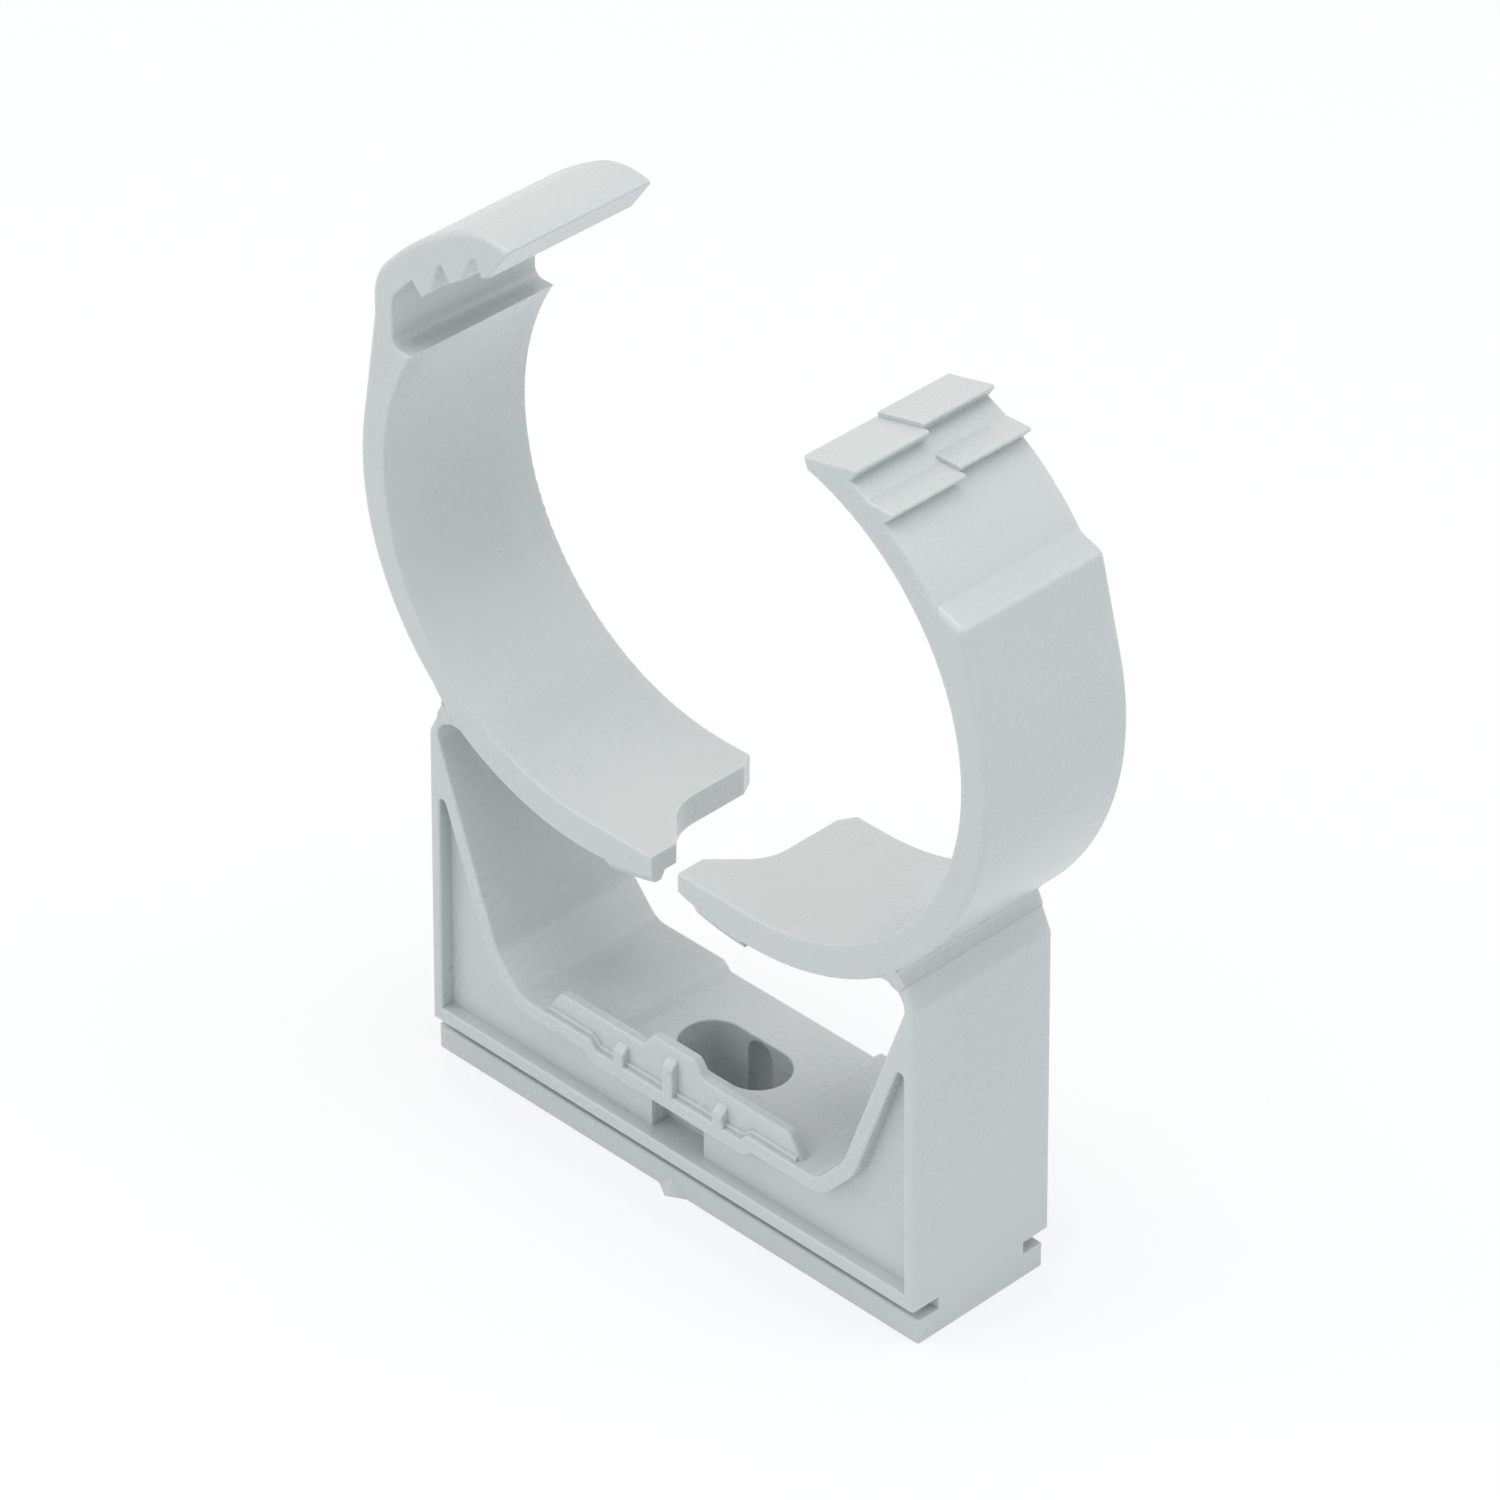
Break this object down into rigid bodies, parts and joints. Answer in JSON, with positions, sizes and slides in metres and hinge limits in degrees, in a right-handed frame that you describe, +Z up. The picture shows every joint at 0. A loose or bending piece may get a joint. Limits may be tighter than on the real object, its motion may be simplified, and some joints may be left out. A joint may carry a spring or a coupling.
{
  "type": "plastic pipe clip",
  "caption": "Push-in plastic clip for a large pipe: a slotted base carries two jaws on thin necks, which swing shut when the pipe is pressed in and latch by a toothed hook.",
  "frame": {"origin": "centre of the fixing slot at the underside of the foot", "axes": "+X along the base towards the toothed jaw, +Y along the pipe away from the front face with the raised flange, +Z up from the foot to the jaws"},
  "size_m": [0.0969, 0.0224, 0.1157],
  "materials": {
    "moulded_plastic": "light grey injection-moulded plastic, fine matt"
  },
  "bodies": {
    "base": {"base": "moulded_plastic"},
    "hook_jaw": {"hook_jaw": "moulded_plastic"},
    "toothed_jaw": {"toothed_jaw": "moulded_plastic"}
  },
  "joints": [
    {"name": "hook_neck", "type": "hinge", "parent": "base", "child": "hook_jaw", "pos_m": [-0.03562, 0, 0.04915], "axis": [0, 1, 0], "range_deg": [0, 35.6], "stiffness_Nm_per_rad": 1.2},
    {"name": "toothed_neck", "type": "hinge", "parent": "base", "child": "toothed_jaw", "pos_m": [0.03562, 0, 0.04915], "axis": [0, -1, 0], "range_deg": [0, 35.6], "stiffness_Nm_per_rad": 1.2}
  ]
}
